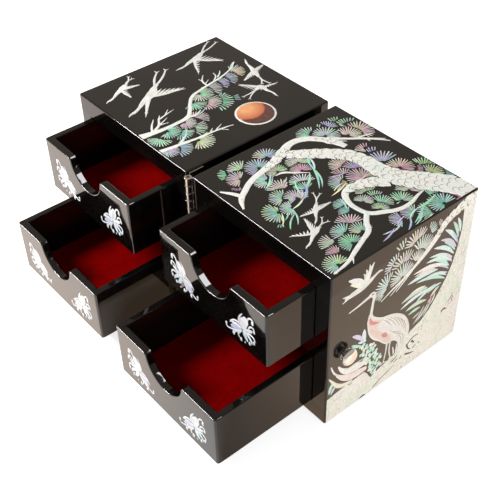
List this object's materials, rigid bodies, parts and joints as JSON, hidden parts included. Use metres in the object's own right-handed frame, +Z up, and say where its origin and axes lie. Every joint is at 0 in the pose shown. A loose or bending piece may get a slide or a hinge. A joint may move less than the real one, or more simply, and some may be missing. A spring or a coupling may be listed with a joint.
{
  "type": "folding jewellery box",
  "caption": "Folding jewellery box: paired lacquered cabinets on a piano hinge, with scooped felt-lined drawers, a hook clasp and shell inlay.",
  "frame": {"origin": "on the floor, in the middle of the footprint of the unfolded box with its drawers standing open; the hinge axis stands at X = 0", "axes": "+X along the drawer fronts, from the left cabinet to the right one, +Y from the fronts to the backs, +Z up"},
  "size_m": [0.2164, 0.1612, 0.102],
  "materials": {
    "lacquer": "high gloss black lacquer",
    "felt": "flocked felt",
    "nickel": "polished nickel plate",
    "chrome": "mirror polish",
    "shell_white": "pearly gloss",
    "shell_abalone": "iridescent gloss",
    "shell_amber": "iridescent gloss"
  },
  "bodies": {
    "right_cabinet": {"clasp_post": "chrome", "hinge_leaf_right": "nickel", "hinge_pin": "nickel", "right_back_board": "lacquer", "right_bottom_board": "lacquer", "right_hinge_side": "lacquer", "right_outer_side": "lacquer", "right_shelf": "lacquer", "right_side_cranes": "shell_white", "right_side_pine": "shell_abalone", "right_top_board": "lacquer", "right_top_cranes": "shell_white", "right_top_pine": "shell_abalone"},
    "left_cabinet": {"clasp_pivot": "chrome", "hinge_leaf_left": "nickel", "left_back_board": "lacquer", "left_bottom_board": "lacquer", "left_hinge_side": "lacquer", "left_outer_side": "lacquer", "left_shelf": "lacquer", "left_top_board": "lacquer", "left_top_cranes": "shell_white", "left_top_pine": "shell_abalone", "sun_disc": "shell_amber", "sun_ring": "shell_white"},
    "right_lower_drawer": {"right_lower_drawer_back": "lacquer", "right_lower_drawer_bottom": "lacquer", "right_lower_drawer_flowers": "shell_white", "right_lower_drawer_front": "lacquer", "right_lower_drawer_hinge_wall": "lacquer", "right_lower_drawer_lining": "felt", "right_lower_drawer_outer_wall": "lacquer"},
    "right_upper_drawer": {"right_upper_drawer_back": "lacquer", "right_upper_drawer_bottom": "lacquer", "right_upper_drawer_flowers": "shell_white", "right_upper_drawer_front": "lacquer", "right_upper_drawer_hinge_wall": "lacquer", "right_upper_drawer_lining": "felt", "right_upper_drawer_outer_wall": "lacquer"},
    "left_lower_drawer": {"left_lower_drawer_back": "lacquer", "left_lower_drawer_bottom": "lacquer", "left_lower_drawer_flowers": "shell_white", "left_lower_drawer_front": "lacquer", "left_lower_drawer_hinge_wall": "lacquer", "left_lower_drawer_lining": "felt", "left_lower_drawer_outer_wall": "lacquer"},
    "left_upper_drawer": {"left_upper_drawer_back": "lacquer", "left_upper_drawer_bottom": "lacquer", "left_upper_drawer_flowers": "shell_white", "left_upper_drawer_front": "lacquer", "left_upper_drawer_hinge_wall": "lacquer", "left_upper_drawer_lining": "felt", "left_upper_drawer_outer_wall": "lacquer"},
    "clasp_hook": {"clasp_hook": "chrome"}
  },
  "joints": [
    {"name": "fold", "type": "hinge", "parent": "right_cabinet", "child": "left_cabinet", "pos_m": [0, -0.0202, 0], "axis": [0, 0, -1], "range_deg": [-24.5, 2.7]},
    {"name": "right_lower_slide", "type": "slide", "parent": "right_cabinet", "child": "right_lower_drawer", "axis": [0, -1, 0], "range_m": [-0.061, 0.014]},
    {"name": "right_upper_slide", "type": "slide", "parent": "right_cabinet", "child": "right_upper_drawer", "axis": [0, -1, 0], "range_m": [-0.0295, 0.0455]},
    {"name": "left_lower_slide", "type": "slide", "parent": "left_cabinet", "child": "left_lower_drawer", "axis": [0, -1, 0], "range_m": [-0.057, 0.018]},
    {"name": "left_upper_slide", "type": "slide", "parent": "left_cabinet", "child": "left_upper_drawer", "axis": [0, -1, 0], "range_m": [-0.0305, 0.0445]},
    {"name": "clasp_swing", "type": "hinge", "parent": "left_cabinet", "child": "clasp_hook", "pos_m": [-0.1036, -0.0079, 0.0455], "axis": [-1, 0, 0], "range_deg": [-60, 130]}
  ]
}
